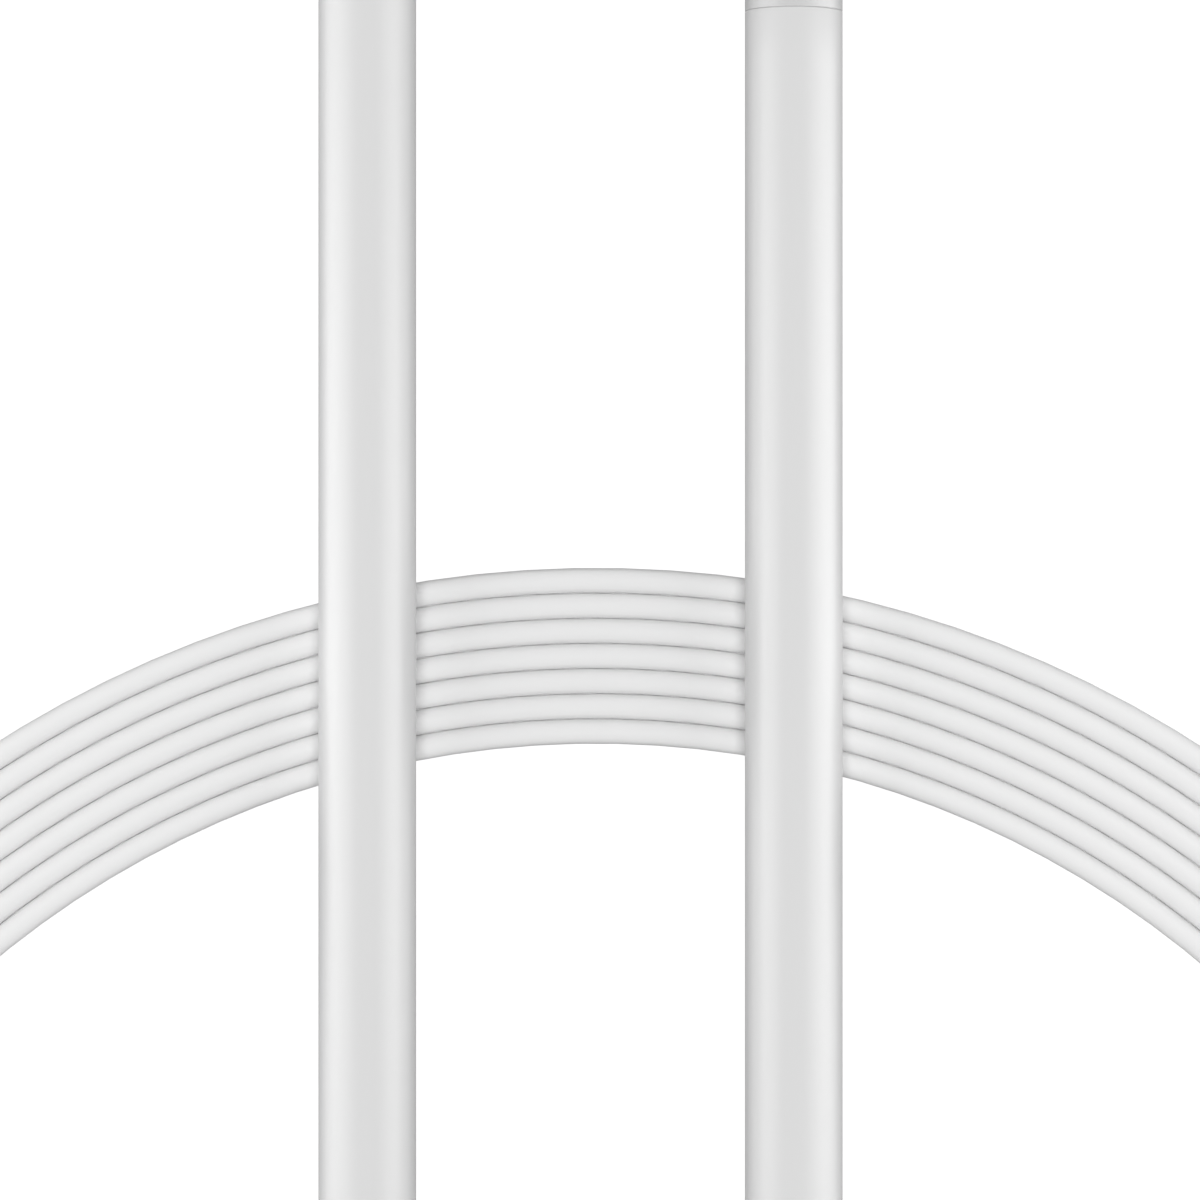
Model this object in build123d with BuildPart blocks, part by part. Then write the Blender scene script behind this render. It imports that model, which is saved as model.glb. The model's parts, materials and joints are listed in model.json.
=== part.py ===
"""A charging cable with a USB-A plug and a USB-C plug, lying coiled on a flat surface. Millimetres.

The thin lead lies in a flat coil of seven turns. Each end of it runs on inside a thick, straight,
smooth sleeve that ends in a plug, and both sleeves lie across the coil. +Y is the way the plugs
point, +Z is up, and the origin is on the surface, under the middle of the sleeves and plugs.
"""

import os
from math import pi, radians, tan

from build123d import *

os.makedirs("parts", exist_ok=True)

# Driving sizes: the thin lead and its coil
cord_d = 2.0
turns = 7
turn_pitch = 2.005
coil_inner_r = 75.1
coil_edge_r = 0.9
tie_thickness = 0.5
tie_width = 10.0
tie_gap = 0.2

# Driving sizes: the sleeves and where they lie
sleeve_d = 7.7
sleeve_bore = 6.1
usb_a_x = 15.6
usb_c_x = -18.0
plug_tip_y = 142.0
boot_end_y = -142.0
boot_length = 16.0
boot_tip_d = 3.4
spigot_length = 4.0
collar_length = 3.0
ferrule_d, ferrule_length = 2.9, 3.2
fit_gap = 0.05

# Driving sizes: the USB-A plug
usb_a_w, usb_a_h, usb_a_wall = 12.0, 4.5, 0.3
usb_a_exposed, usb_a_shell_length = 12.0, 18.0
usb_a_housing_size = (15.8, 8.0, 20.0)
usb_a_neck_length = 7.1
usb_a_contact_x = {"short": 1.0, "long": 3.5}
usb_a_cavity_depth = 8.9

# Driving sizes: the USB-C plug
usb_c_w, usb_c_h, usb_c_wall = 8.25, 2.4, 0.15
usb_c_exposed, usb_c_shell_length = 6.65, 10.05
usb_c_housing_size = (12.0, 7.7, 18.0)
usb_c_neck_length = 6.0
usb_c_pitch, usb_c_contacts = 0.5, 12
usb_c_opening = (6.9, 0.8, 5.6)
strip_t, strip_w = 0.15, 0.2
beam_root = 7.0

# Worked out from the driving sizes
coil_outer_r = coil_inner_r + turns * turn_pitch
coil_bottom_z = tie_thickness
coil_top_z = coil_bottom_z + cord_d
lead_z = coil_top_z + fit_gap + sleeve_d / 2
coil_y = -33.0
sleeve_low_y = boot_end_y + boot_length
usb_a_shell_rear = plug_tip_y - usb_a_shell_length
usb_a_housing_front = plug_tip_y - usb_a_exposed
usb_a_housing_rear = usb_a_housing_front - usb_a_housing_size[2]
usb_a_collar_top = usb_a_housing_rear - usb_a_neck_length
usb_a_sleeve_top = usb_a_collar_top - collar_length
usb_c_housing_front = plug_tip_y - usb_c_exposed
usb_c_housing_rear = usb_c_housing_front - usb_c_housing_size[2]
usb_c_collar_top = usb_c_housing_rear - usb_c_neck_length
usb_c_sleeve_top = usb_c_collar_top - collar_length

# The thin lead's way from each boot to the coil, by the middle of the lead
usb_c_route = [
    (-18.0, -142.0, 6.4),
    (-18.0, -146.5, 6.4),
    (-18.0, -155.3, 4.8),
    (-27.0, -164.0, 2.2),
    (-39.5, -166.0, 1.0),
    (-51.0, -159.0, 1.0),
    (-58.5, -140.5, 1.0),
    (-67.5, -116.0, 1.0),
    (-76.0, -89.0, 1.2),
    (-83.0, -62.5, 1.5),
]
usb_a_route = [
    (15.6, -142.0, 6.4),
    (15.6, -146.5, 6.4),
    (15.6, -155.3, 4.8),
    (24.5, -164.2, 2.2),
    (38.0, -166.0, 1.0),
    (49.5, -157.5, 1.0),
    (54.0, -140.0, 1.0),
    (57.5, -124.0, 1.1),
    (61.8, -104.5, 3.6),
    (66.0, -84.0, 3.6),
    (71.0, -63.5, 3.6),
    (74.2, -50.0, 2.6),
    (75.8, -40.5, 1.5),
]


def across(x, y):
    """The plane across a sleeve at that place along it, with its own y up and its z along +Y."""
    return Plane(origin=(x, y, lead_z), x_dir=(-1, 0, 0), z_dir=(0, 1, 0))


def write(piece, name):
    """Names a finished piece and writes its file."""
    piece.part.label = name
    export_step(piece.part, f"parts/{name}.step")


def tube(x, low, high, outer, bore):
    """A round tube about a sleeve's axis, from low to high along it; a rod where bore is 0."""
    with BuildPart() as piece:
        with BuildSketch(across(x, low)):
            Circle(outer / 2)
            if bore:
                Circle(bore / 2, mode=Mode.SUBTRACT)
        extrude(amount=high - low)
    return piece


def bend_radii(points):
    """The largest arc that each corner of a route has room for."""
    radii = []
    for before, corner, after in zip(points, points[1:], points[2:]):
        way_in = Vector(corner) - Vector(before)
        way_out = Vector(after) - Vector(corner)
        half_turn = radians(way_in.get_angle(way_out)) / 2
        radii.append(0.45 * min(way_in.length, way_out.length) / tan(half_turn))
    return radii


def cord_tail(points, diameter, name):
    """A tail of round cord, of straight runs and tangent arcs, from its boot to where it joins the coil."""
    radii = bend_radii(points)
    with BuildPart() as piece:
        with BuildLine() as path:
            FilletPolyline(*points, radius=radii)
        start = Plane(origin=points[0], z_dir=Vector(points[1]) - Vector(points[0]))
        with BuildSketch(start):
            Circle(diameter / 2)
        sweep(path=path.line)
    length = path.wires()[0].length
    share = piece.part.volume / (length * pi * diameter**2 / 4)
    print(name, "length", round(length, 1), "volume share", round(share, 4))
    print("    radii", [round(r, 1) for r in radii])
    with piece:
        add(cord_coil.part, mode=Mode.SUBTRACT)
    write(piece, name)


# ---------------------------------------------------------------- the thin lead
with BuildPart() as cord_coil:
    with BuildSketch(Plane.XZ.offset(-coil_y)):
        with Locations((coil_inner_r + turns * turn_pitch / 2, coil_bottom_z + cord_d / 2)):
            RectangleRounded(turns * turn_pitch, cord_d, coil_edge_r)
    revolve(axis=Axis((0, coil_y, 0), (0, 0, 1)))
write(cord_coil, "cord_coil")

cord_tail(usb_c_route, cord_d, "cord_usb_c_tail")
cord_tail(usb_a_route, cord_d, "cord_usb_a_tail")


# ---------------------------------------------------------------- the coil's two ties
def coil_tie(side):
    """A flat strap round all the turns, with its loose end lapped over the top."""
    band_middle = side * (coil_inner_r + coil_outer_r) / 2
    inside_w = turns * turn_pitch + 2 * tie_gap
    outside_w = inside_w + 2 * tie_thickness
    inside_h = cord_d + tie_gap / 2
    outside_h = inside_h + 2 * tie_thickness
    lap_length = 9.0
    with BuildPart() as piece:
        with BuildSketch(Plane.XZ.offset(-coil_y - tie_width / 2)):
            with Locations((band_middle, outside_h / 2)):
                RectangleRounded(outside_w, outside_h, 1.2)
                RectangleRounded(inside_w, inside_h, 0.7, mode=Mode.SUBTRACT)
        extrude(amount=tie_width)
        with BuildSketch(Plane.XY.offset(outside_h)):
            with Locations((band_middle + side * 1.5, coil_y)):
                RectangleRounded(lap_length, tie_width, 1.5)
        extrude(amount=tie_thickness)
    return piece


write(coil_tie(-1), "coil_tie_left")
write(coil_tie(1), "coil_tie_right")


# ---------------------------------------------------------------- what both ends share
def sleeve_end(name, x, sleeve_top, lead_end):
    """One sleeve with its liner, the lead inside it, its tapered boot and its collar."""
    write(tube(x, sleeve_low_y, sleeve_top, sleeve_d, sleeve_bore), f"{name}_sleeve")
    spigot_top = sleeve_low_y + spigot_length
    write(tube(x, spigot_top, sleeve_top - spigot_length, sleeve_bore, cord_d), f"{name}_liner")
    write(tube(x, boot_end_y, lead_end, cord_d, 0), f"{name}_inner_lead")
    write(tube(x, sleeve_top, sleeve_top + collar_length, sleeve_d, sleeve_bore), f"{name}_collar")

    groove_w, groove_depth, grooves = 0.9, 0.45, 5
    axis = Axis((x, 0, lead_z), (0, 1, 0))
    side_plane = Plane(origin=(x, 0, lead_z), x_dir=(1, 0, 0), z_dir=(0, 0, 1))
    with BuildPart() as boot:
        with BuildSketch(side_plane):
            with BuildLine():
                outer = Spline(
                    (sleeve_d / 2, sleeve_low_y),
                    (boot_tip_d / 2, boot_end_y),
                    tangents=[(-0.12, -1), (-0.06, -1)],
                )
                Polyline(
                    outer @ 1,
                    (cord_d / 2, boot_end_y),
                    (cord_d / 2, spigot_top),
                    (sleeve_bore / 2, spigot_top),
                    (sleeve_bore / 2, sleeve_low_y),
                    outer @ 0,
                )
            make_face()
        revolve(axis=axis)
        for i in range(grooves):
            share = 0.22 + 0.14 * i
            place = outer @ share
            with BuildSketch(side_plane):
                with Locations((place.X, place.Y)):
                    Rectangle(2 * groove_depth, groove_w)
            revolve(axis=axis, mode=Mode.SUBTRACT)
    write(boot, f"{name}_boot")


def neck(x, collar_top, housing_rear, wide, tall, corner, seat):
    """The soft neck from collar to housing, with a spigot down into the sleeve and a seat for the ferrule."""
    spigot_low = collar_top - collar_length - spigot_length
    with BuildPart() as piece:
        with BuildSketch(across(x, collar_top)):
            Circle(sleeve_d / 2)
        with BuildSketch(across(x, housing_rear)):
            RectangleRounded(wide, tall, corner)
        loft()
        with BuildSketch(across(x, spigot_low)):
            Circle(sleeve_bore / 2)
        extrude(amount=collar_top - spigot_low)
        with BuildSketch(across(x, spigot_low)):
            Circle(cord_d / 2)
        extrude(amount=housing_rear - spigot_low, mode=Mode.SUBTRACT)
        if seat:
            with BuildSketch(across(x, seat[0])):
                Circle(ferrule_d / 2)
            extrude(amount=seat[1] - seat[0], mode=Mode.SUBTRACT)
    return piece


def wires(name, x, lead_end, places, top_z, reach):
    """Four insulated wires that fan out from the end of the lead to their places."""
    wire_d, lay = 0.56, 0.3
    starts = [(-lay, -lay), (-lay, lay), (lay, lay), (lay, -lay)]
    for (colour, place), (sx, sz) in zip(places.items(), starts):
        points = [
            (x + sx, lead_end, lead_z + sz),
            (x + sx, lead_end + 0.9, lead_z + sz),
            (x + place, reach - 1.6, lead_z + top_z + wire_d / 2),
            (x + place, reach, lead_z + top_z + wire_d / 2),
        ]
        with BuildPart() as wire:
            with BuildLine() as path:
                FilletPolyline(*points, radius=0.5)
            with BuildSketch(across(x + sx, lead_end)):
                with Locations((0, sz)):
                    Circle(wire_d / 2)
            sweep(path=path.line)
        write(wire, f"{name}_wire_{colour}")


# ---------------------------------------------------------------- USB-A plug
usb_a_inside_w, usb_a_inside_h = usb_a_w - 2 * usb_a_wall, usb_a_h - 2 * usb_a_wall
usb_a_block_front = plug_tip_y - usb_a_cavity_depth
usb_a_tail_rear = usb_a_shell_rear - 2.5
usb_a_chamber_rear = usb_a_shell_rear - 6.0
usb_a_mould_rear = usb_a_chamber_rear - 1.5
usb_a_strip_top = -0.05
usb_a_strip_t, usb_a_strip_w = 0.2, 1.0

with BuildPart() as usb_a_shell:
    with BuildSketch(across(usb_a_x, usb_a_shell_rear)):
        RectangleRounded(usb_a_w, usb_a_h, 0.65)
        RectangleRounded(usb_a_inside_w, usb_a_inside_h, 0.35, mode=Mode.SUBTRACT)
    extrude(amount=usb_a_shell_length)
    chamfer(usb_a_shell.faces().sort_by(Axis.Y)[-1].outer_wire().edges(), 0.12)
    with BuildSketch(Plane.XY.offset(lead_z)):
        with Locations((usb_a_x, plug_tip_y - 5.6)):
            with GridLocations(5.2, 1, 2, 1):
                Rectangle(2.3, 2.3)
    extrude(amount=usb_a_h, both=True, mode=Mode.SUBTRACT)
    with BuildSketch(Plane.XY.offset(lead_z - usb_a_h / 2)):
        with Locations((usb_a_x, plug_tip_y - usb_a_shell_length / 2)):
            Rectangle(0.14, usb_a_shell_length)
    extrude(amount=usb_a_wall / 2, mode=Mode.SUBTRACT)
write(usb_a_shell, "usb_a_shell")


def usb_a_strips():
    """The places and front ends of the four contact strips."""
    short, long = usb_a_contact_x["short"], usb_a_contact_x["long"]
    return [(-long, 1.2), (-short, 2.2), (short, 2.2), (long, 1.2)]


with BuildPart() as usb_a_contacts:
    for place, back in usb_a_strips():
        middle_y = (plug_tip_y - back + usb_a_tail_rear) / 2
        with BuildSketch(Plane.XY.offset(lead_z + usb_a_strip_top)):
            with Locations((usb_a_x + place, middle_y)):
                Rectangle(usb_a_strip_w, plug_tip_y - back - usb_a_tail_rear)
        extrude(amount=-usb_a_strip_t)
write(usb_a_contacts, "usb_a_contacts")

with BuildPart() as usb_a_tongue:
    with BuildSketch(across(usb_a_x, usb_a_shell_rear + 0.5)):
        RectangleRounded(usb_a_inside_w - 2 * fit_gap, usb_a_inside_h - 2 * fit_gap, 0.3)
    extrude(amount=usb_a_block_front - usb_a_shell_rear - 0.5)
    tongue_floor = -(usb_a_inside_h / 2 - fit_gap)
    with BuildSketch(across(usb_a_x, usb_a_block_front)):
        with Locations((0, (usb_a_strip_top + tongue_floor) / 2)):
            Rectangle(usb_a_inside_w - 0.8, usb_a_strip_top - tongue_floor)
    extrude(amount=usb_a_cavity_depth - 0.5)
    add(usb_a_contacts.part, mode=Mode.SUBTRACT)
write(usb_a_tongue, "usb_a_tongue")

with BuildPart() as usb_a_solder:
    for place, _ in usb_a_strips():
        with BuildSketch(Plane.XY.offset(lead_z + usb_a_strip_top)):
            with Locations((usb_a_x + place, usb_a_shell_rear - 0.7)):
                RectangleRounded(0.8, 1.2, 0.25)
        extrude(amount=0.5, taper=18)
write(usb_a_solder, "usb_a_solder")

usb_a_mould_size = (11.2, 5.4)
with BuildPart() as usb_a_inner_mould:
    with BuildSketch(across(usb_a_x, usb_a_mould_rear)):
        RectangleRounded(*usb_a_mould_size, 1.0)
    extrude(amount=usb_a_shell_rear - usb_a_mould_rear)
    with BuildSketch(across(usb_a_x, usb_a_chamber_rear)):
        RectangleRounded(9.6, 3.6, 0.5)
    extrude(amount=usb_a_shell_rear - usb_a_chamber_rear, mode=Mode.SUBTRACT)
    with BuildSketch(across(usb_a_x, usb_a_mould_rear)):
        Circle(cord_d / 2)
    extrude(amount=usb_a_chamber_rear - usb_a_mould_rear, mode=Mode.SUBTRACT)
write(usb_a_inner_mould, "usb_a_inner_mould")

with BuildPart() as usb_a_housing:
    with BuildSketch(across(usb_a_x, usb_a_housing_rear)):
        RectangleRounded(*usb_a_housing_size[:2], 2.6)
    extrude(amount=usb_a_housing_size[2])
    ends = usb_a_housing.faces().sort_by(Axis.Y)
    fillet(ends[-1].outer_wire().edges(), 0.9)
    fillet(usb_a_housing.faces().sort_by(Axis.Y)[0].outer_wire().edges(), 1.2)
    with BuildSketch(across(usb_a_x, usb_a_shell_rear)):
        RectangleRounded(usb_a_w, usb_a_h, 0.65)
    extrude(amount=usb_a_housing_size[2], mode=Mode.SUBTRACT)
    with BuildSketch(across(usb_a_x, usb_a_mould_rear)):
        RectangleRounded(*usb_a_mould_size, 1.0)
    extrude(amount=usb_a_shell_rear - usb_a_mould_rear, mode=Mode.SUBTRACT)
    with BuildSketch(across(usb_a_x, usb_a_housing_rear)):
        Circle(ferrule_d / 2)
    extrude(amount=usb_a_mould_rear - usb_a_housing_rear, mode=Mode.SUBTRACT)
write(usb_a_housing, "usb_a_housing")

usb_a_lead_end = usb_a_chamber_rear + 0.6
write(tube(usb_a_x, usb_a_mould_rear - ferrule_length, usb_a_mould_rear, ferrule_d, cord_d), "usb_a_ferrule")
write(neck(usb_a_x, usb_a_collar_top, usb_a_housing_rear, 12.8, 5.6, 2.7, None), "usb_a_neck")
sleeve_end("usb_a", usb_a_x, usb_a_sleeve_top, usb_a_lead_end)
usb_a_places = {"red": -3.5, "white": -1.0, "green": 1.0, "black": 3.5}
wires("usb_a", usb_a_x, usb_a_lead_end, usb_a_places, usb_a_strip_top, usb_a_shell_rear - 1.35)

# ---------------------------------------------------------------- USB-C plug
usb_c_inside_w, usb_c_inside_h = usb_c_w - 2 * usb_c_wall, usb_c_h - 2 * usb_c_wall
usb_c_shell_rear = plug_tip_y - usb_c_shell_length
usb_c_block_rear = plug_tip_y - 8.5
usb_c_board = (8.4, 8.6, 0.85)
usb_c_board_notch = (2.0, 3.2)
usb_c_board_front = usb_c_block_rear - 0.3
usb_c_board_rear = usb_c_board_front - usb_c_board[1]
usb_c_can = (10.2, 4.4, 0.2)
usb_c_can_rear = usb_c_board_rear - 1.0
usb_c_mould_rear = usb_c_housing_rear + 1.4
usb_c_strip_z = 0.5
usb_c_row = [(i - (usb_c_contacts - 1) / 2) * usb_c_pitch for i in range(usb_c_contacts)]
beam_root_y = plug_tip_y - beam_root

with BuildPart() as usb_c_shell:
    with BuildSketch(across(usb_c_x, usb_c_shell_rear)):
        SlotOverall(usb_c_w, usb_c_h)
        SlotOverall(usb_c_inside_w, usb_c_inside_h, mode=Mode.SUBTRACT)
    extrude(amount=usb_c_shell_length)
    fillet(usb_c_shell.faces().sort_by(Axis.Y)[-1].outer_wire().edges(), 0.1)
write(usb_c_shell, "usb_c_shell")


# The fixed ends of both rows of contacts, from the hinge line back onto the board.
tail_front, tail_rear = beam_root_y - 0.05, usb_c_board_front - 1.4
with BuildPart() as usb_c_contact_tails:
    for side in (1, -1):
        with BuildSketch(Plane.XY.offset(lead_z + side * usb_c_strip_z)):
            with Locations((usb_c_x, (tail_front + tail_rear) / 2)):
                with GridLocations(usb_c_pitch, 1, usb_c_contacts, 1):
                    Rectangle(strip_w, tail_front - tail_rear)
        extrude(amount=strip_t / 2, both=True)
write(usb_c_contact_tails, "usb_c_contact_tails")


def contact_row(side):
    """One row of sprung contact beams: each dips into the opening near its tip, then turns away again."""
    half = strip_t / 2
    line = [(beam_root, 0.5), (2.7, 0.41), (2.1, 0.375), (1.5, 0.5)]
    upper = [(plug_tip_y - back, side * (z + half)) for back, z in line]
    lower = [(plug_tip_y - back, side * (z - half)) for back, z in reversed(line)]
    with BuildPart() as row:
        for place in usb_c_row:
            with BuildSketch(Plane(origin=(usb_c_x + place, 0, lead_z), x_dir=(0, 1, 0), z_dir=(1, 0, 0))):
                with BuildLine():
                    Polyline(*upper, *lower, close=True)
                make_face()
            extrude(amount=strip_w / 2, both=True)
    return row


write(contact_row(1), "usb_c_upper_contacts")
write(contact_row(-1), "usb_c_lower_contacts")


def side_latch(side):
    """A side spring that holds the plug in its socket: it leans into the opening and has a rounded nose."""
    line = [(7.4, 3.62), (2.6, 3.44), (1.9, 3.38), (1.5, 3.5)]
    latch_t, latch_h = 0.18, 0.5
    outer = [(side * (x + latch_t / 2), plug_tip_y - back) for back, x in line]
    inner = [(side * (x - latch_t / 2), plug_tip_y - back) for back, x in reversed(line)]
    with BuildPart() as latch:
        with BuildSketch(Plane(origin=(usb_c_x, 0, lead_z))):
            with BuildLine():
                Polyline(*outer, *inner, close=True)
            make_face()
        extrude(amount=latch_h / 2, both=True)
    return latch


write(side_latch(-1), "usb_c_latch_left")
write(side_latch(1), "usb_c_latch_right")

with BuildPart() as usb_c_insulator:
    with BuildSketch(across(usb_c_x, usb_c_block_rear)):
        SlotOverall(usb_c_inside_w - 0.02, usb_c_inside_h - 0.02)
    extrude(amount=plug_tip_y - 0.25 - usb_c_block_rear)
    with BuildSketch(across(usb_c_x, plug_tip_y - usb_c_opening[2])):
        RectangleRounded(usb_c_opening[0], usb_c_opening[1], 0.2)
    extrude(amount=usb_c_opening[2], mode=Mode.SUBTRACT)
    slot_w, slot_front, slot_z = 0.28, 1.1, 0.92
    with BuildSketch(Plane.XY.offset(lead_z)):
        with Locations((usb_c_x, (beam_root_y - 0.05 + plug_tip_y - slot_front) / 2)):
            with GridLocations(usb_c_pitch, 1, usb_c_contacts, 1):
                Rectangle(slot_w, beam_root + 0.05 - slot_front)
    extrude(amount=slot_z, both=True, mode=Mode.SUBTRACT)
    latch_slot = (0.75, 7.45 - slot_front, 0.3)
    with BuildSketch(Plane.XY.offset(lead_z)):
        with Locations((usb_c_x, plug_tip_y - (7.45 + slot_front) / 2)):
            with GridLocations(2 * 3.47, 1, 2, 1):
                Rectangle(latch_slot[0], latch_slot[1])
    extrude(amount=latch_slot[2], both=True, mode=Mode.SUBTRACT)
    add(usb_c_contact_tails.part, mode=Mode.SUBTRACT)
write(usb_c_insulator, "usb_c_insulator")

with BuildPart() as usb_c_circuit_board:
    with BuildSketch(Plane.XY.offset(lead_z)):
        with Locations((usb_c_x, (usb_c_board_front + usb_c_board_rear) / 2)):
            RectangleRounded(usb_c_board[0], usb_c_board[1], 0.4)
            for end in (-1, 1):
                with Locations((end * usb_c_board[0] / 2, usb_c_board[1] / 2)):
                    Rectangle(*usb_c_board_notch, mode=Mode.SUBTRACT)
    extrude(amount=usb_c_board[2] / 2, both=True)
write(usb_c_circuit_board, "usb_c_circuit_board")

board_top = lead_z + usb_c_board[2] / 2
with BuildPart() as usb_c_chip:
    with BuildSketch(Plane.XY.offset(board_top)):
        with Locations((usb_c_x, usb_c_board_front - 3.4)):
            Rectangle(2.4, 2.4)
    extrude(amount=0.6)
    chamfer(usb_c_chip.faces().sort_by(Axis.Z)[-1].edges(), 0.08)
write(usb_c_chip, "usb_c_chip")

with BuildPart() as usb_c_resistors:
    with BuildSketch(Plane.XY.offset(board_top)):
        with Locations((usb_c_x - 2.7, usb_c_board_front - 3.0), (usb_c_x + 2.7, usb_c_board_front - 3.0)):
            Rectangle(0.5, 1.0)
        with Locations((usb_c_x + 2.7, usb_c_board_front - 4.6)):
            Rectangle(1.0, 0.5)
    extrude(amount=0.4)
write(usb_c_resistors, "usb_c_resistors")

with BuildPart() as usb_c_can_shell:
    with BuildSketch(across(usb_c_x, usb_c_can_rear)):
        RectangleRounded(usb_c_can[0], usb_c_can[1], 1.2)
        offset(amount=-usb_c_can[2], mode=Mode.SUBTRACT)
    extrude(amount=usb_c_shell_rear - fit_gap - usb_c_can_rear)
write(usb_c_can_shell, "usb_c_shield_can")

usb_c_mould_size = (9.8, 4.0)
with BuildPart() as usb_c_inner_mould:
    with BuildSketch(across(usb_c_x, usb_c_mould_rear)):
        RectangleRounded(*usb_c_mould_size, 1.0)
    extrude(amount=usb_c_can_rear - usb_c_mould_rear)
    with BuildSketch(across(usb_c_x, usb_c_mould_rear + 1.0)):
        RectangleRounded(8.4, 2.6, 0.5)
    extrude(amount=usb_c_can_rear - usb_c_mould_rear, mode=Mode.SUBTRACT)
    with BuildSketch(across(usb_c_x, usb_c_mould_rear)):
        Circle(cord_d / 2)
    extrude(amount=1.0, mode=Mode.SUBTRACT)
write(usb_c_inner_mould, "usb_c_inner_mould")

with BuildPart() as usb_c_housing:
    with BuildSketch(across(usb_c_x, usb_c_housing_rear)):
        RectangleRounded(*usb_c_housing_size[:2], 3.4)
    extrude(amount=usb_c_housing_size[2])
    fillet(usb_c_housing.faces().sort_by(Axis.Y)[-1].outer_wire().edges(), 0.9)
    fillet(usb_c_housing.faces().sort_by(Axis.Y)[0].outer_wire().edges(), 1.2)
    with BuildSketch(across(usb_c_x, usb_c_shell_rear)):
        SlotOverall(usb_c_w, usb_c_h)
    extrude(amount=usb_c_housing_size[2], mode=Mode.SUBTRACT)
    with BuildSketch(across(usb_c_x, usb_c_can_rear)):
        RectangleRounded(usb_c_can[0], usb_c_can[1], 1.2)
    extrude(amount=usb_c_shell_rear - usb_c_can_rear, mode=Mode.SUBTRACT)
    with BuildSketch(across(usb_c_x, usb_c_mould_rear)):
        RectangleRounded(*usb_c_mould_size, 1.0)
    extrude(amount=usb_c_can_rear - usb_c_mould_rear, mode=Mode.SUBTRACT)
    with BuildSketch(across(usb_c_x, usb_c_housing_rear)):
        Circle(cord_d / 2)
    extrude(amount=usb_c_mould_rear - usb_c_housing_rear, mode=Mode.SUBTRACT)
write(usb_c_housing, "usb_c_housing")

usb_c_lead_end = usb_c_mould_rear + 1.6
usb_c_seat = (usb_c_collar_top + 1.4, usb_c_collar_top + 1.4 + ferrule_length)
write(tube(usb_c_x, *usb_c_seat, ferrule_d, cord_d), "usb_c_ferrule")
write(neck(usb_c_x, usb_c_collar_top, usb_c_housing_rear, 9.2, 5.4, 2.6, usb_c_seat), "usb_c_neck")
sleeve_end("usb_c", usb_c_x, usb_c_sleeve_top, usb_c_lead_end)
usb_c_places = {"red": -3.0, "white": -1.0, "green": 1.0, "black": 3.0}
wires("usb_c", usb_c_x, usb_c_lead_end, usb_c_places, usb_c_board[2] / 2, usb_c_board_rear + 1.8)

print("coil outer radius", coil_outer_r, "sleeve axis height", lead_z)
print("sleeve tops", usb_a_sleeve_top, usb_c_sleeve_top, "from the coil's centre", usb_a_sleeve_top - coil_y)
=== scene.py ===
# %% [markdown]
# # A coiled charging cable in Blender
#
# The cable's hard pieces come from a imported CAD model. This lesson loads them as a fixed frame,
# makes the pieces that CAD can't give a real look, such as the soft lead and its cloth ties,
# and gives every piece the finish that its material has.
#
# All sizes are in metres. +Y is the way the plugs point and +Z is up.

import json
from math import cos, pi, radians, sin, tan

import bmesh
import bpy
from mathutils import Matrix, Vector


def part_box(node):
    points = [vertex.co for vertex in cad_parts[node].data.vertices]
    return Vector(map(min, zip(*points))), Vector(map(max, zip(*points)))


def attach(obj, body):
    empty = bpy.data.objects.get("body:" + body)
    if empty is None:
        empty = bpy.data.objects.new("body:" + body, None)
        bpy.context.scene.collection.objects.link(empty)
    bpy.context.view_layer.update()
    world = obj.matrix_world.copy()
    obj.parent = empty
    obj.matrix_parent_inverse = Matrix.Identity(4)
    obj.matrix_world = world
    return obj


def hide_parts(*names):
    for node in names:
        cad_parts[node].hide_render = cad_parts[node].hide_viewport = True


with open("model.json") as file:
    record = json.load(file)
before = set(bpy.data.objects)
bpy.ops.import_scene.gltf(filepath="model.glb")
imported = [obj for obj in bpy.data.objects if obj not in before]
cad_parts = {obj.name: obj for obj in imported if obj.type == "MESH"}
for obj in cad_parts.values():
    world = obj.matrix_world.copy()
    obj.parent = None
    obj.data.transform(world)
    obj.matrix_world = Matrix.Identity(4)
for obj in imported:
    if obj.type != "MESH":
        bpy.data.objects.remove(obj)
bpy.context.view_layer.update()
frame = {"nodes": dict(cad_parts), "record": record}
MM = 0.001

# %% [markdown]
# ## Measuring the frame
#
# New pieces have to meet the CAD ones. Typing their sizes twice would let the two drift apart, so
# the heights, widths and ends are read from the frame's own boxes.

# %% Read the sizes that the new pieces need
TURNS = 7
TURN_PITCH = 2.005 * MM
ENDS = ("usb_a", "usb_c")


def half_width(node):
    """Half of a node's size across the cable, which is its radius where it is round."""
    low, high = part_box(node)
    return (high.x - low.x) / 2


def sleeve_axis(end):
    """The middle of a sleeve: its place across the coil and its height."""
    low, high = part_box(f"{end}_sleeve")
    return (low.x + high.x) / 2, (low.z + high.z) / 2


coil_low, coil_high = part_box("cord_coil")
coil_outer_r = half_width("cord_coil")
coil_inner_r = coil_outer_r - TURNS * TURN_PITCH
coil_y = (coil_high.y + coil_low.y) / 2
cord_z = (coil_high.z + coil_low.z) / 2
cord_d = coil_high.z - coil_low.z
print("lead", round(cord_d / MM, 3), "mm, coil", round(2 * coil_outer_r / MM, 2), "mm across")

# %% [markdown]
# ## The camera
#
# The cable is seen from straight above, close enough that the sleeves run out of the picture at
# top and bottom. An orthographic camera would be simpler, but a real lens makes the raised sleeves
# a little larger than the coil under them, so this one is a 150 mm lens on a full-size sensor.
# Its height follows from how much of the coil's plane it has to see.

# %% Camera
SENSOR = 36.0
LENS = 150.0
VIEW_WIDTH = 95.73 * MM
VIEW_CENTRE = (0.335 * MM, 53.56 * MM)
CLIP_START = 0.01

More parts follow.
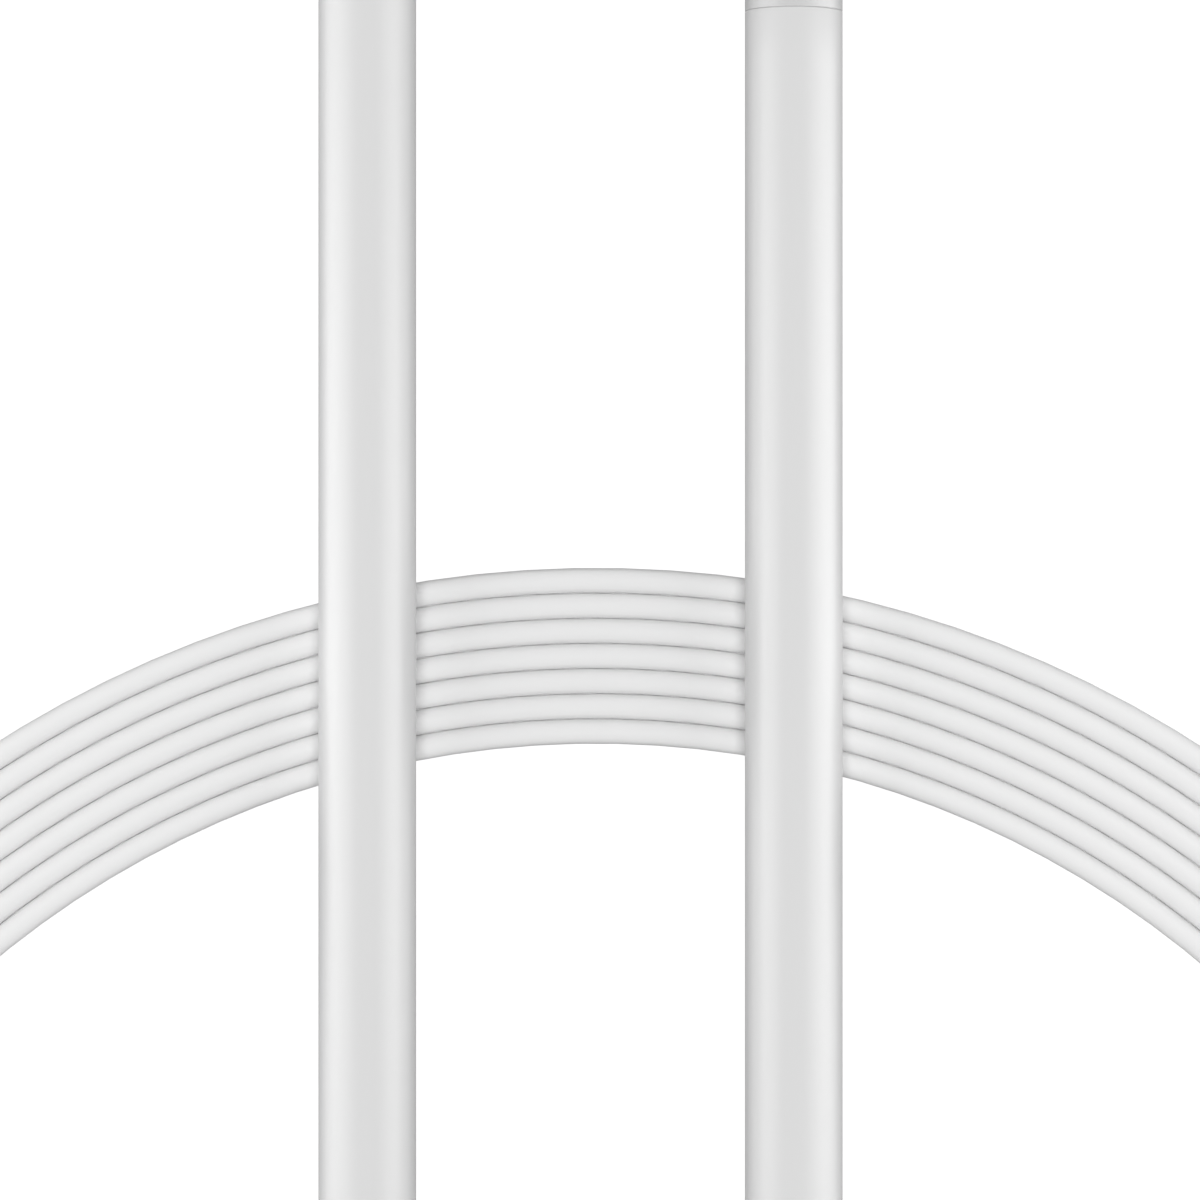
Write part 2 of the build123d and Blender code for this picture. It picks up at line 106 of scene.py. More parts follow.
camera = bpy.data.objects.new("camera", bpy.data.cameras.new("camera"))
bpy.context.scene.collection.objects.link(camera)
camera.data.lens = LENS
camera.data.sensor_width = SENSOR
camera.data.clip_start = CLIP_START
camera.location = (*VIEW_CENTRE, cord_z + VIEW_WIDTH * LENS / SENSOR)
bpy.context.scene.camera = camera
print("camera height", round(camera.location.z / MM, 1), "mm")

# %% [markdown]
# ## Two small tools for materials
#
# Colours are picked as sRGB hex values, as on a paint chart, but shaders add and multiply light,
# which is linear. One function converts. The other adds a node, sets it up and wires it in, so a
# material reads as a list of what it is made of.

# %% Material tools
def to_linear(hex_colour):
    """An sRGB hex colour as linear red, green, blue and alpha."""
    channels = [int(hex_colour[place : place + 2], 16) / 255 for place in (0, 2, 4)]
    return [c / 12.92 if c <= 0.04045 else ((c + 0.055) / 1.055) ** 2.4 for c in channels] + [1.0]


def add_node(tree, kind, inputs=None, **settings):
    """Adds a node; each input gets a value, or is linked from another node's output socket."""
    node = tree.nodes.new(kind)
    for name, value in settings.items():
        setattr(node, name, value)
    for name, value in (inputs or {}).items():
        if isinstance(value, bpy.types.NodeSocket):
            tree.links.new(value, node.inputs[name])
        else:
            node.inputs[name].default_value = value
    return node


# %% [markdown]
# ## One recipe for moulded and drawn surfaces
#
# No real surface is one flat colour. A moulding has a slow drift of tone, a roughness that varies
# a little, and a fine grain from its tool. Image textures could hold these, but noise on object
# coordinates stays sharp at any distance and has a true size in millimetres. The recipe takes
# those sizes. A stretch of more than one draws the grain out along the piece, as a die does.

# %% The recipe
# A Mix node has a set of sockets for each kind of value, so its colours go by number.
MIX_A, MIX_B, MIX_RESULT = 6, 7, 2


def grained(name, tones, tone_mm, roughness, grain_mm, grain_depth_mm, stretch=1.0, **sockets):
    """A material with two tones, a range of roughness and a grain, sized in millimetres."""
    material = bpy.data.materials.new(name)
    material.use_nodes = True
    tree = material.node_tree
    shader = tree.nodes["Principled BSDF"]
    for socket, value in sockets.items():
        shader.inputs[socket.replace("_", " ")].default_value = value
    place = add_node(tree, "ShaderNodeTexCoord").outputs["Object"]
    drawn = add_node(tree, "ShaderNodeMapping", {"Vector": place, "Scale": (1, 1 / stretch, 1)})
    drift = add_node(
        tree, "ShaderNodeTexNoise", {"Vector": drawn.outputs[0], "Scale": 1 / (tone_mm * MM), "Detail": 3.0}
    )
    grain = add_node(
        tree, "ShaderNodeTexNoise", {"Vector": drawn.outputs[0], "Scale": 1 / (grain_mm * MM), "Detail": 2.0}
    )
    mix = add_node(
        tree,
        "ShaderNodeMix",
        {"Factor": drift.outputs[0], MIX_A: to_linear(tones[0]), MIX_B: to_linear(tones[1])},
        data_type="RGBA",
    )
    tree.links.new(mix.outputs[MIX_RESULT], shader.inputs["Base Color"])
    gloss = add_node(
        tree,
        "ShaderNodeMapRange",
        {"Value": grain.outputs[0], "To Min": roughness[0], "To Max": roughness[1]},
    )
    tree.links.new(gloss.outputs[0], shader.inputs["Roughness"])
    relief = add_node(
        tree, "ShaderNodeBump", {"Height": grain.outputs[0], "Distance": grain_depth_mm * MM, "Strength": 1.0}
    )
    tree.links.new(relief.outputs[0], shader.inputs["Normal"])
    return material


# %% [markdown]
# ## Cloth with a looped pile
#
# A hook-and-loop tie is knitted nylon, and its soft face is a dense pile of loops a few tenths of a
# millimetre across. Modelling each loop would cost thousands of faces for something that only
# reads as a mat, broken surface. Voronoi cells have the right character: each cell is one tuft,
# high in its middle. Every row of tufts runs across the strap, so the cells are drawn out that
# way, and a finer noise frays them. The same height makes the colour darker towards the hollows
# between tufts, which is painted shade. Sheen gives the pale edge that fibres have.

# %% The tie's cloth
TUFT_MM = 0.55
TUFT_STRETCH = (0.7, 1.3, 1.0)
TUFT_EDGE, TUFT_TOP = 0.75, 0.1
FIBRE_MM = 0.12
FIBRE_SHARE = 0.45
PILE_DEPTH_MM = 0.09
# Heights on the pile where the painted shade of the hollows is full and where the tufts' own colour is
# reached.
SHADED_HOLLOW_AT, TUFT_AT = 0.2, 0.95


def looped_pile(name, shaded_hollow_tone, tuft_tone):
    """Knitted cloth with tufts of loops: lower between them, and darker there with painted shade."""
    material = bpy.data.materials.new(name)
    material.use_nodes = True
    tree = material.node_tree
    shader = tree.nodes["Principled BSDF"]
    shader.inputs["Roughness"].default_value = 0.92
    shader.inputs["Sheen Weight"].default_value = 0.35
    shader.inputs["Sheen Roughness"].default_value = 0.5
    place = add_node(tree, "ShaderNodeTexCoord").outputs["Object"]
    rows = add_node(tree, "ShaderNodeMapping", {"Vector": place, "Scale": TUFT_STRETCH})
    tufts = add_node(
        tree,
        "ShaderNodeTexVoronoi",
        {"Vector": rows.outputs[0], "Scale": 1 / (TUFT_MM * MM), "Randomness": 0.65},
        feature="SMOOTH_F1",
    )
    fibres = add_node(
        tree, "ShaderNodeTexNoise", {"Vector": place, "Scale": 1 / (FIBRE_MM * MM), "Detail": 2.0}
    )
    raised = add_node(
        tree,
        "ShaderNodeMapRange",
        {"Value": tufts.outputs["Distance"], "From Min": TUFT_EDGE, "From Max": TUFT_TOP},
    )
    height = add_node(
        tree,
        "ShaderNodeMath",
        {0: fibres.outputs[0], 1: FIBRE_SHARE, 2: raised.outputs[0]},
        operation="MULTIPLY_ADD",
    )
    # Painted shade: the lower the pile, the darker its colour, standing in for the shade in the hollows
    # between tufts.
    tones = add_node(tree, "ShaderNodeValToRGB", {"Fac": height.outputs[0]})
    stops = tones.color_ramp.elements
    stops[0].position, stops[0].color = SHADED_HOLLOW_AT, to_linear(shaded_hollow_tone)
    stops[1].position, stops[1].color = TUFT_AT, to_linear(tuft_tone)
    tree.links.new(tones.outputs[0], shader.inputs["Base Color"])
    relief = add_node(
        tree, "ShaderNodeBump", {"Height": height.outputs[0], "Distance": PILE_DEPTH_MM * MM, "Strength": 1.0}
    )
    tree.links.new(relief.outputs[0], shader.inputs["Normal"])
    return material


# %% [markdown]
# ## White plastics
#
# Four white plastics lie side by side on this cable, and they differ more in how they shine than in
# colour: the soft sleeves are satin, the hard housings a little glossier, the lead duller. Their
# base colours are a little below white, so that the bright bands on them have room to show.

# %% White plastics
finishes = {}

# Thermoplastic elastomer, moulded in a fine-blasted tool: a satin skin that spreads a soft light
# into a broad band. The grain is drawn out along the sleeve, the way the plastic flows.
finishes["white_sleeve"] = grained(
    "satin_elastomer", ("D4D4D4", "D6D6D6"), 12, (0.38, 0.46), 0.25, 0.001, 6, IOR=1.9
)

# The same elastomer in a separate shot for collars and boots: one tone darker, with an even grain.
finishes["white_collar"] = grained(
    "satin_elastomer_collar", ("C4C4C4", "C8C8C8"), 6, (0.38, 0.46), 0.25, 0.002, IOR=1.9
)

# ABS, moulded hard and clean: a harder, slightly glossier and warmer white than the sleeves.
finishes["white_housing"] = grained(
    "moulded_abs", ("DFDFDE", "E4E4E3"), 9, (0.30, 0.40), 0.2, 0.003, IOR=1.54
)

# Soft jacket compound, extruded round the wires: nearly matt, and smooth in every direction.
finishes["white_lead"] = grained(
    "extruded_lead_jacket", ("E6E6E6", "E8E8E8"), 14, (0.42, 0.5), 0.3, 0.001, IOR=1.5
)

# Liquid crystal polymer, the usual block behind contacts: matt, off-white, faintly streaked.
finishes["white_insulator"] = grained(
    "white_liquid_crystal_polymer", ("E2E2DE", "EAEAE6"), 3, (0.45, 0.6), 0.15, 0.002
)

# Natural polyethylene, shot round the joints before the housing: milky and slightly waxy.
finishes["natural_mould"] = grained(
    "natural_polyethylene", ("D6D3C8", "E2DFD5"), 3, (0.35, 0.5), 0.3, 0.003, IOR=1.51
)

# Foamed elastomer in the sleeves: dull, with pores a third of a millimetre across.
finishes["foam_liner"] = grained(
    "foamed_elastomer", ("CFCFCC", "DEDEDB"), 0.6, (0.8, 0.9), 0.35, 0.05
)

# Nylon knit with brushed loops: no shine at all, and a mat surface that breaks up the light. Its
# darker colour is painted shade for the hollows between the tufts; the paler one is the tufts' own.
finishes["strap_fabric"] = looped_pile("looped_nylon_strap", "B2B2B0", "DCDCDA")

# %% [markdown]
# ## Metals
#
# A metal's colour is the colour of what it reflects, tinted. So these differ in tint, in how
# blurred the reflection is, and in the direction of their grain: sheet keeps the marks of the
# rolls, which run along the plug, and they are drawn a little coarser than real ones to show.

# %% Metals
# Stainless sheet with a nickel flash, stamped and bent: bright, with a faint grain along the plug.
finishes["plated_steel"] = grained(
    "nickel_plated_steel", ("CFCBC4", "D8D5CF"), 4, (0.18, 0.27), 0.12, 0.0008, 8, Metallic=1.0
)

# Hard rolled spring strip, left bare: greyer and more blurred than the plated shell.
finishes["spring_steel"] = grained(
    "spring_steel", ("B5B3AF", "C0BEBA"), 3, (0.3, 0.4), 0.1, 0.0008, 8, Metallic=1.0
)

# Gold over nickel on copper alloy: warm yellow, with the soft gloss of a plating bath.
finishes["gold_contact"] = grained(
    "gold_plate", ("E2B558", "EBC46C"), 2, (0.2, 0.3), 0.1, 0.0008, 5, Metallic=1.0
)

# Tin solder that has set in a drop: silvery, uneven, with a slight frost.
finishes["solder"] = grained("tin_solder", ("C9CACC", "D6D7D9"), 0.4, (0.2, 0.35), 0.3, 0.01, Metallic=1.0)

# Drawn brass tube, crimped: duller than gold and browner, scored along its length.
finishes["ferrule_brass"] = grained(
    "drawn_brass", ("B8924C", "C7A25A"), 2, (0.25, 0.38), 0.12, 0.001, 6, Metallic=1.0
)

# %% [markdown]
# ## Inside the plugs
#
# Most of this is hidden when the cable is whole. It has its own finishes all the same, because a
# reader who takes the plug apart should see a board, a chip and wires, not grey blocks.

# %% Inside the plugs
# Black liquid crystal polymer round the contacts: matt and very dark, so the gold stands out.
finishes["black_insulator"] = grained(
    "black_liquid_crystal_polymer", ("151517", "1E1E20"), 3, (0.4, 0.55), 0.15, 0.002
)

# Green solder mask, printed over copper: glossy, mottled where tracks run under it.
finishes["circuit_board"] = grained(
    "green_solder_mask", ("0E4A23", "155C2E"), 0.8, (0.25, 0.35), 0.4, 0.004
)

# Epoxy moulding compound with glass filler: charcoal, dull, finely pitted.
finishes["chip_black"] = grained("epoxy_chip", ("121213", "1B1B1C"), 0.6, (0.5, 0.65), 0.12, 0.003)

# Resistors fired on alumina under a dark glaze: brown-black, half dull.
finishes["resistor_grey"] = grained("fired_ceramic", ("35322F", "4A4642"), 0.4, (0.4, 0.6), 0.1, 0.002)

# Extruded PVC on the four wires: saturated, with an even half gloss.
WIRE_TONES = {
    "red": ("B01818", "C02020"),
    "white": ("E6E6E6", "EFEFEF"),
    "green": ("147A30", "1A8A3A"),
    "black": ("151515", "202020"),
}
for colour, tones in WIRE_TONES.items():
    finishes[f"wire_{colour}"] = grained(f"{colour}_wire_jacket", tones, 2, (0.35, 0.45), 0.2, 0.001)

# %% [markdown]
# ## Dressing the frame
#
# The CAD nodes whose shape is right stay as they are, and only change their clothes. The record
# names a finish for each node, so one loop dresses them all, and none can be forgotten. Those that
# a finer piece stands for further down are hidden then.

# %% Dress the frame
for subpart in frame["record"]["subparts"]:
    node = frame["nodes"][subpart["node"]]
    node.data.materials.clear()
    node.data.materials.append(finishes[subpart["material_slot"]])

# %% [markdown]
# ## The lead
#
# The thin lead is one length of soft cord. It leaves the left boot, runs to the coil and winds
# inwards, six and a half times round, which puts seven turns side by side at the top. Then it
# crosses them to the right boot. It could be a swept tube, but a NURBS spline suits it better: a
# few listed points give each tail one smooth line with no flat runs, and a loop adds the coil.

# %% The route of the lead
LEFT_TAIL = [
    (-18.0, -142.0, 6.4),
    (-18.0, -146.5, 6.4),
    (-18.0, -155.3, 4.8),
    (-27.0, -164.0, 2.2),
    (-39.5, -166.0, 1.0),
    (-51.0, -159.0, 1.0),
    (-58.5, -140.5, 1.0),
    (-67.5, -116.0, 1.0),
    (-76.0, -89.0, 1.2),
    (-83.0, -62.5, 1.5),
]
RIGHT_TAIL = [
    (75.8, -40.5, 1.5),
    (74.2, -50.0, 2.6),
    (71.0, -63.5, 3.6),
    (66.0, -84.0, 3.6),
    (61.8, -104.5, 3.6),
    (57.5, -124.0, 1.1),
    (54.0, -140.0, 1.0),
    (49.5, -157.5, 1.0),
    (38.0, -166.0, 1.0),
    (24.5, -164.2, 2.2),
    (15.6, -155.3, 4.8),
    (15.6, -146.5, 6.4),
    (15.6, -142.0, 6.4),
]
# Angles in degrees about the coil's centre, from +X towards +Y. The lead winds the other way.
STEP = 15.0
COIL_START = 187.5
COIL_STEPS = 156
TURN_START = 200.0
RAMP_FROM, RAMP_TO = -20.0, -160.0


def turn_radius(angle):
    """The lead's distance from the coil's centre: a circle over the top, and one turn in below."""
    turn, swept = divmod(TURN_START - angle, 360.0)
    ramp = min(max((TURN_START - swept - RAMP_FROM) / (RAMP_TO - RAMP_FROM), 0.0), 1.0)
    eased = ramp * ramp * (3 - 2 * ramp)
    return coil_inner_r + (TURNS - 0.5 - turn - eased) * TURN_PITCH


# A spline's points stand a little outside the circle that they draw.
stand_out = 1 / (0.75 + 0.25 * cos(radians(STEP)))
coil_points = []
for step in range(COIL_STEPS + 1):
    angle = COIL_START - step * STEP
    radius = turn_radius(angle) * stand_out
    coil_points.append((radius * cos(radians(angle)), coil_y + radius * sin(radians(angle)), cord_z))
route = [tuple(v * MM for v in point) for point in LEFT_TAIL] + coil_points
route += [tuple(v * MM for v in point) for point in RIGHT_TAIL]

# %% Draw the lead
lead_line = bpy.data.curves.new("lead", "CURVE")
lead_line.dimensions = "3D"
spline = lead_line.splines.new("NURBS")
spline.points.add(len(route) - 1)
for point, place in zip(spline.points, route):
    point.co = (*place, 1.0)
spline.order_u = 3
spline.use_endpoint_u = True
lead_line.resolution_u = 6
lead_line.bevel_depth = cord_d / 2
lead_line.bevel_resolution = 10
lead = bpy.data.objects.new("lead", lead_line)
bpy.context.scene.collection.objects.link(lead)
lead_line.materials.append(finishes["white_lead"])
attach(lead, "cable")
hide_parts("cord_coil", "cord_usb_a_tail", "cord_usb_c_tail")
print("lead points", len(route))

# %% [markdown]
# ## Sleeves, collars and boots are turned
#
# Each end of the cable is round: a long sleeve, with a short collar at the plug and a ribbed boot
# at the lead. A cylinder would do for the sleeve, but its ends would be knife sharp, and a real
# moulding has a small round at every edge, which shows as a fine line where two pieces meet. So
# each piece is made as on a lathe. Half of its section is drawn with a few points, the corners are
# rounded with a vertex bevel, and a full spin about the sleeve's axis closes it. Long sides are
# cut up first, because otherwise the soft shading at an end runs along the whole sleeve.

# %% Tools for outlines
SHARP_ANGLE = radians(50)


def outline(mesh, places, closed=False):
    """Joins places in a line, or in a ring where it is closed, and returns its corners."""
    corners = [mesh.verts.new(place) for place in places]
    following = corners[1:] + corners[:1] if closed else corners[1:]
    for corner, next_corner in zip(corners, following):
        mesh.edges.new((corner, next_corner))
    return corners


def round_corners(mesh, corners, radius, segments):
    """Gives each of these corners an arc."""
    bmesh.ops.bevel(
        mesh, geom=corners, offset=radius, segments=segments, profile=0.5, affect="VERTICES", material=-1
    )


def show_mesh(name, mesh, finish):
    """Turns a bmesh into an object: faces outwards and smooth, sharp only where the surface turns."""
    bmesh.ops.recalc_face_normals(mesh, faces=mesh.faces)
    print(name, "faces", len(mesh.faces))
    data = bpy.data.meshes.new(name)
    mesh.to_mesh(data)
    mesh.free()
    for face in data.polygons:
        face.use_smooth = True
    data.set_sharp_from_angle(angle=SHARP_ANGLE)
    data.materials.append(finishes[finish])
    piece = bpy.data.objects.new(name, data)
    bpy.context.scene.collection.objects.link(piece)
    return piece


# %% The lathe
SPIN_STEPS = 96
LONGEST_SIDE = 4 * MM
# Points closer together than this are one point.
WELD = 0.0005 * MM
sleeve_r = half_width("usb_a_sleeve")
bore_r = half_width("usb_a_liner")


def turned(name, end, section, edge_r, finish):
    """Spins a closed half-section of (radius, y) points about the axis of that end of the cable."""
    x, z = sleeve_axis(end)
    mesh = bmesh.new()
    corners = outline(mesh, [(x + radius, y, z) for radius, y in section], closed=True)
    round_corners(mesh, corners, edge_r, segments=4)
    for edge in [e for e in mesh.edges if e.calc_length() > LONGEST_SIDE]:
        cuts = int(edge.calc_length() / LONGEST_SIDE)
        bmesh.ops.subdivide_edges(mesh, edges=[edge], cuts=cuts)
    bmesh.ops.spin(
        mesh,
        geom=mesh.verts[:] + mesh.edges[:],
        cent=(x, 0, z),
        axis=(0, 1, 0),
        angle=2 * pi,
        steps=SPIN_STEPS,
        use_merge=True,
    )
    bmesh.ops.remove_doubles(mesh, verts=mesh.verts, dist=WELD)
    return show_mesh(name, mesh, finish)


# %% Sleeves and collars
SLEEVE_EDGE_R = 0.09 * MM
COLLAR_EDGE_R = 0.07 * MM
for end in ENDS:
    for part, edge_r, finish in (
        ("sleeve", SLEEVE_EDGE_R, "white_sleeve"),
        ("collar", COLLAR_EDGE_R, "white_collar"),
    ):
        low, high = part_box(f"{end}_{part}")
        wall = [(sleeve_r, low.y), (sleeve_r, high.y), (bore_r, high.y), (bore_r, low.y)]
        piece = turned(f"{end}_turned_{part}", end, wall, edge_r, finish)
        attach(piece, "cable")
        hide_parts(f"{end}_{part}")

# %% [markdown]
# ## The boot's ribs
#
# A boot keeps the lead from kinking where it leaves the sleeve. It is thick at the sleeve and thin
# at the lead, and grooves round it let it bend. Straight grooves cut with a boolean would leave
# sharp lips, so the ribs are part of the half-section: a loop steps down the taper, two points out
# and two points in, and the same lathe rounds them. A groove's side towards the tip is less deep,
# because the boot is thinner there.

# %% Boots
RIBS = 6
GROOVE_WIDTH = 0.95 * MM
GROOVE_DEPTH = 0.5 * MM
GROOVE_LEAN = 0.1 * MM
THIN_SIDE = 0.8
BOOT_TIP_R = 1.7 * MM
RIB_EDGE_R = 0.2 * MM


def boot_section(low_y, shoulder_y, spigot_y):
    """Half the boot's section: spigot, shoulder, ribs down the taper, tip and the bore for the lead."""
    points = [(bore_r, spigot_y), (bore_r, shoulder_y), (sleeve_r, shoulder_y)]
    length = shoulder_y - low_y
    rib_pitch = length / (RIBS + 1)

    def taper(y):
        return BOOT_TIP_R + (sleeve_r - BOOT_TIP_R) * (0.5 - 0.5 * cos(pi * (y - low_y) / length))

    for rib in range(RIBS):
        groove_y = shoulder_y - (rib + 1) * rib_pitch
        upper, lower = groove_y + GROOVE_WIDTH / 2, groove_y - GROOVE_WIDTH / 2
        points += [(taper(upper), upper), (taper(upper) - GROOVE_DEPTH, upper - GROOVE_LEAN)]
        points += [(taper(lower) - GROOVE_DEPTH * THIN_SIDE, lower + GROOVE_LEAN), (taper(lower), lower)]
    return points + [(BOOT_TIP_R, low_y), (cord_d / 2, low_y), (cord_d / 2, spigot_y)]


for end in ENDS:
    low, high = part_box(f"{end}_boot")
    sleeve_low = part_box(f"{end}_sleeve")[0]
    section = boot_section(low.y, sleeve_low.y, high.y)
    boot = turned(f"{end}_ribbed_boot", end, section, RIB_EDGE_R, "white_collar")
    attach(boot, "cable")
    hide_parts(f"{end}_boot")

# %% [markdown]
# ## The ties
#
# Two hook-and-loop ties hold the coil. Each is one flat strap that goes once round the seven turns
# and laps over its own start, where the hooks grip the loops. The strap's way round the bundle is
# drawn edge on as a line of six points, rounded at the corners, and pulled out to the strap's
# width. Its free end has rounded corners. Solidify gives it a thickness, and a low pile of cloth
# loops is left to the finish, because a loop is a tenth of a millimetre thick.

# %% Tools for strips
def pull(mesh, way):
    """Pulls an outline along a way, which makes it a strip."""
    pulled = bmesh.ops.extrude_edge_only(mesh, edges=mesh.edges[:])
    moved = [item for item in pulled["geom"] if isinstance(item, bmesh.types.BMVert)]
    bmesh.ops.translate(mesh, verts=moved, vec=way)


def thicken(piece, thickness):
    """Gives a strip its thickness, half of it on each side."""
    wall = piece.modifiers.new("thickness", "SOLIDIFY")
    wall.thickness = thickness
    wall.offset = 0.0


# %% Ties
STRAP_THICKNESS = 0.45 * MM
STRAP_LAYER = 0.5 * MM
STRAP_BEND_R = 0.95 * MM
STRAP_END_R = 1.6 * MM
CUT_EDGE = 0.1 * MM
CUT_ANGLE = radians(60)
LAP_START, LAP_END = 6.4 * MM, -3.0 * MM
# Points this near to the strap's end belong to it.
NEAR = 0.01 * MM


def strap_line(low, high, outward):
    """The middle of the strap, as (x, z) points from its covered end to its free end."""
    middle = (low.x + high.x) / 2
    side = (high.x - low.x - STRAP_LAYER) / 2
    bottom, lap = low.z + STRAP_LAYER / 2, high.z - STRAP_LAYER / 2
    top = lap - STRAP_LAYER
    across = [(LAP_START, top), (-side, top), (-side, bottom), (side, bottom), (side, lap), (LAP_END, lap)]
    return [(middle + outward * x, z) for x, z in across]


for node_name, outward in (("coil_tie_left", -1), ("coil_tie_right", 1)):
    low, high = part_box(node_name)
    mesh = bmesh.new()
    points = outline(mesh, [(x, low.y, z) for x, z in strap_line(low, high, outward)])
    round_corners(mesh, points[1:-1], STRAP_BEND_R, segments=6)
    pull(mesh, (0, high.y - low.y, 0))
    free_x = (low.x + high.x) / 2 + outward * LAP_END
    tips = [v for v in mesh.verts if abs(v.co.x - free_x) < NEAR and v.co.z > high.z - STRAP_LAYER]
    round_corners(mesh, tips, STRAP_END_R, segments=6)
    strap = show_mesh(f"{node_name}_strap", mesh, "strap_fabric")
    thicken(strap, STRAP_THICKNESS)
    edge = strap.modifiers.new("cut edges", "BEVEL")
    edge.width = CUT_EDGE
    edge.segments = 2
    edge.limit_method = "ANGLE"
    edge.angle_limit = CUT_ANGLE
    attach(strap, "cable")
    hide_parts(node_name)

# %% [markdown]
# ## Parting lines on the plugs
#
# Each plug's housing is moulded in a tool of two halves, and where they meet the plastic leaves a
# fine raised line at half height, which makes a moulding look moulded from close by. It could be a
# bump in the finish, but that vanishes at the outline, so the line is a real thread of plastic. Its
# way round one side of the housing is drawn from above, its corners get the housing's own rounds,
# and it is pulled up to its width. It starts beside the shell and ends in the neck.

# %% Parting lines
LINE_WIDTH = 0.14 * MM
LINE_PROUD = 0.035 * MM
FRONT_ROUND, REAR_ROUND = 0.9 * MM, 1.2 * MM
for end in ENDS:
    x, z = sleeve_axis(end)
    rear, front = (corner.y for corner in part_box(f"{end}_housing"))
    half = half_width(f"{end}_housing")
    way = [(half_width(f"{end}_shell"), front), (half, front), (half, rear)]
    way.append((half_width(f"{end}_neck") - LINE_WIDTH, rear))
    for side, side_name in ((-1, "left"), (1, "right")):
        mesh = bmesh.new()
        points = outline(mesh, [(x + side * across, y, z - LINE_WIDTH / 2) for across, y in way])
        round_corners(mesh, [points[1]], FRONT_ROUND, segments=8)
        round_corners(mesh, [points[2]], REAR_ROUND, segments=8)
        pull(mesh, (0, 0, LINE_WIDTH))
        line = show_mesh(f"{end}_parting_line_{side_name}", mesh, "white_housing")
        thicken(line, 2 * LINE_PROUD)
        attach(line, "cable")
    print(end, "parting lines", round((front - rear) / MM, 2), "mm long")

# %% [markdown]
# ## The surface
#
# The cable lies on a plain white surface, as in a catalogue picture, where the ground is exposed
# until it has no tone left. Its material is a pale diffuse paint with a glow added to it. Only the
# camera sees the surface, so it throws no light up into the grooves of the coil.

# %% Floor
FLOOR_HALF = 3.0
FLOOR_GLOW = 0.97
floor_mesh = bmesh.new()
bmesh.ops.create_grid(floor_mesh, x_segments=1, y_segments=1, size=FLOOR_HALF)
floor_data = bpy.data.meshes.new("floor")
floor_mesh.to_mesh(floor_data)
floor_mesh.free()
floor = bpy.data.objects.new("floor", floor_data)
bpy.context.scene.collection.objects.link(floor)
for ray in ("diffuse", "glossy", "transmission", "volume_scatter", "shadow"):
    setattr(floor, f"visible_{ray}", False)

floor_material = bpy.data.materials.new("white_studio_floor")
floor_material.use_nodes = True
tree = floor_material.node_tree
tree.nodes.clear()
surface = add_node(tree, "ShaderNodeBsdfDiffuse", {"Color": to_linear("6C6C6C")})
light = add_node(tree, "ShaderNodeEmission", {"Strength": FLOOR_GLOW})
both = add_node(tree, "ShaderNodeAddShader")
tree.links.new(surface.outputs[0], both.inputs[0])
tree.links.new(light.outputs[0], both.inputs[1])
add_node(tree, "ShaderNodeOutputMaterial", {"Surface": both.outputs[0]})
floor_data.materials.append(floor_material)
print("floor", 2 * FLOOR_HALF, "m across")

# %% [markdown]
# ## The light
#
# One light above would leave round white plastic flat, so most of it comes from the sides. A tall
# soft light stands at each side, a bright box below and a dimmer one on it, and the two show in
# each sleeve as broad bright bands, with its middle and its edges darker. A light above lights the
# coil, whose turns then grow dark towards the grooves between them. It is polarised, so that it
# adds no shine to the middle of the sleeves. A low light at each end keeps the plugs' faces pale.
# The room is white to the camera and dim otherwise, with more of it in gloss, for the metal.

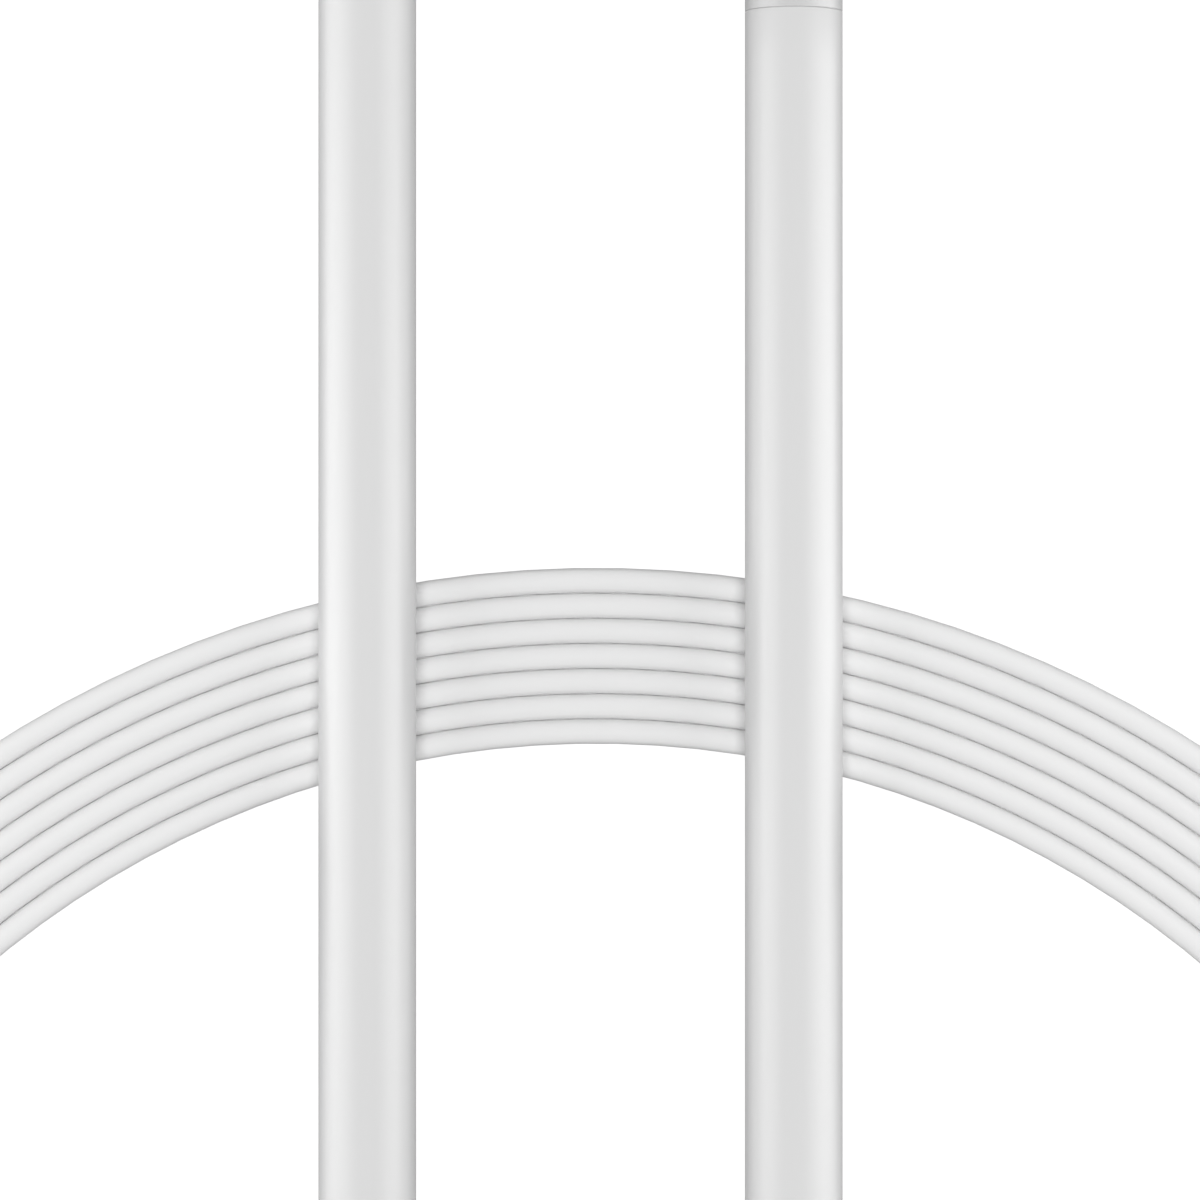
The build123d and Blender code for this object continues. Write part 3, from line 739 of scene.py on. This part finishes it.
# %% World
ROOM_SEEN, ROOM_IN_GLOSS, ROOM_LIGHT = 1.0, 0.48, 0.09
world = bpy.data.worlds.new("studio")
bpy.context.scene.world = world
world.use_nodes = True
tree = world.node_tree
background = tree.nodes["Background"]
rays = add_node(tree, "ShaderNodeLightPath")
lit = add_node(
    tree,
    "ShaderNodeMapRange",
    {"Value": rays.outputs["Is Glossy Ray"], "To Min": ROOM_LIGHT, "To Max": ROOM_IN_GLOSS},
)
strength = add_node(
    tree,
    "ShaderNodeMapRange",
    {"Value": rays.outputs["Is Camera Ray"], "To Min": lit.outputs[0], "To Max": ROOM_SEEN},
)
tree.links.new(strength.outputs[0], background.inputs["Strength"])
background.inputs["Color"].default_value = (1, 1, 1, 1)
print("room", ROOM_SEEN, "seen,", ROOM_IN_GLOSS, "in gloss,", ROOM_LIGHT, "as light")


# %% Lights
def soft_light(name, place, aim, size, power):
    """A rectangular soft light of that size, turned towards its aim."""
    lamp = bpy.data.lights.new(name, "AREA")
    lamp.shape = "RECTANGLE"
    lamp.size, lamp.size_y = size
    lamp.energy = power
    holder = bpy.data.objects.new(name, lamp)
    bpy.context.scene.collection.objects.link(holder)
    holder.location = place
    direction = (holder.location - Vector(aim)).normalized()
    holder.rotation_euler = direction.to_track_quat("Z", "Y").to_euler()
    return holder


# The middle of the studio, and how far its lights stand from there.
STUDIO_Y = 0.05
REACH = 0.55
TOP_HEIGHT, TOP_SIZE, TOP_POWER = 0.9, 0.35, 5.85


def standing_light(name, turn, low, high, width, radiance):
    """A soft light standing round the cable, from one angle above the table to another."""
    middle, half = radians((low + high) / 2), radians((high - low) / 2)
    out = REACH * cos(middle)
    place = (out * cos(radians(turn)), STUDIO_Y + out * sin(radians(turn)), REACH * sin(middle))
    size = (width, 2 * REACH * tan(half))
    return soft_light(name, place, (0, STUDIO_Y, 0), size, radiance * pi * size[0] * size[1])


# Each light's turn round the cable and its lowest and highest angle in degrees, its width in
# metres and how bright it looks.
STANDING_LIGHTS = [
    ("right_low", 0, -20, 25, 0.26, 3.4),
    ("right_high", 0, 25, 52, 0.26, 2.1),
    ("left_low", 180, -20, 25, 0.26, 3.4),
    ("left_high", 180, 25, 52, 0.26, 2.1),
    ("far_end", 90, -15, 20, 0.5, 1.1),
    ("near_end", -90, -15, 20, 0.5, 1.1),
]
for name, *setting in STANDING_LIGHTS:
    standing_light(f"{name}_softbox", *setting)
# The light above is polarised, as for copy work: it lights every piece and glares on none.
top = soft_light(
    "polarised_top_softbox", (0, STUDIO_Y, TOP_HEIGHT), (0, STUDIO_Y, 0), (TOP_SIZE, TOP_SIZE), TOP_POWER
)
top.visible_glossy = False
# The standard view keeps a white of 1 as pure white.
bpy.context.scene.view_settings.view_transform = "Standard"
print("lights", len(STANDING_LIGHTS) + 1)
